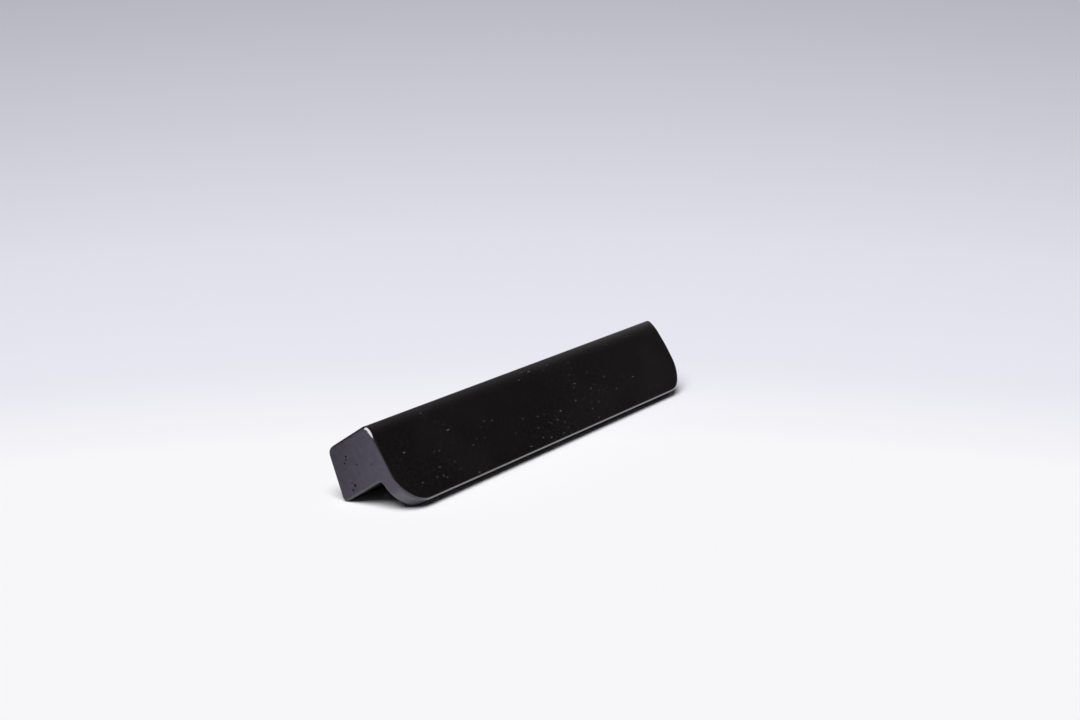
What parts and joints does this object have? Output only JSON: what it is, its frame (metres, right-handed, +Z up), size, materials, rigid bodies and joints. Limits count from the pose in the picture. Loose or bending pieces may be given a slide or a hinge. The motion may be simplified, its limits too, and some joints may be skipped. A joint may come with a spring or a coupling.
{
  "type": "wooden cabinet handle",
  "caption": "Straight wooden lip pull for a drawer or cabinet door: a block along the back takes the screws and a thin rounded lip hangs in front for the fingers.",
  "frame": {"origin": "on the table under the middle of the handle: middle of the length and of the depth, at the height of the heel and toe that it rests on", "axes": "+X along the length, to the right for someone who faces the front; -Y towards the front face and its lip; +Z up, with the handle lying as the picture shows it. The face that goes against the cabinet looks to +Y and 21 degrees down, so turn the part by that about +X to stand this face upright"},
  "size_m": [0.2, 0.0354, 0.029],
  "materials": {
    "wood": "satin black lacquer over open-pored hardwood",
    "brass": "turned, bare"
  },
  "bodies": {
    "root": {"handle": "wood", "insert_left": "brass", "insert_right": "brass"}
  },
  "joints": []
}
